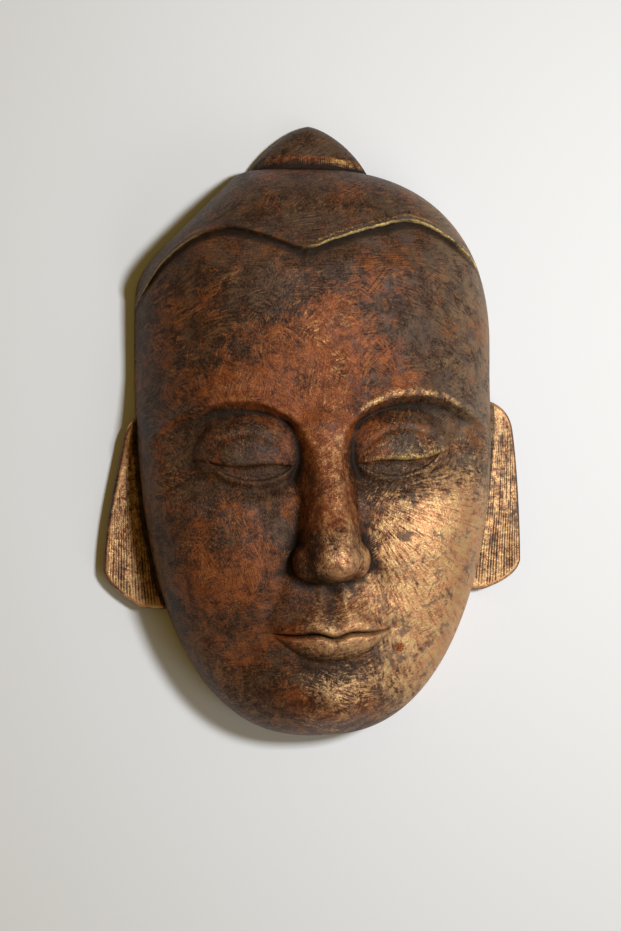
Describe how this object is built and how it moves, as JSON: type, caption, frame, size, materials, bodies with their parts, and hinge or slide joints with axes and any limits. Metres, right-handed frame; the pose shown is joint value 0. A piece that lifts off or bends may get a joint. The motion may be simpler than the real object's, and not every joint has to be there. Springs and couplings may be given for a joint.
{
  "type": "ceramic mask",
  "caption": "Hollow ceramic wall mask: a calm head with lowered lids, a hair cap, a topknot and long combed ears, open at the back.",
  "frame": {"origin": "middle of the bounding box on the flat back rim, which is z = 0", "axes": "+X to the viewer's right, +Y up the face from the chin to the topknot, +Z out of the face"},
  "size_m": [0.207, 0.3, 0.0857],
  "materials": {
    "patinated_clay": "satin"
  },
  "bodies": {
    "root": {"mask": "patinated_clay"}
  },
  "joints": []
}
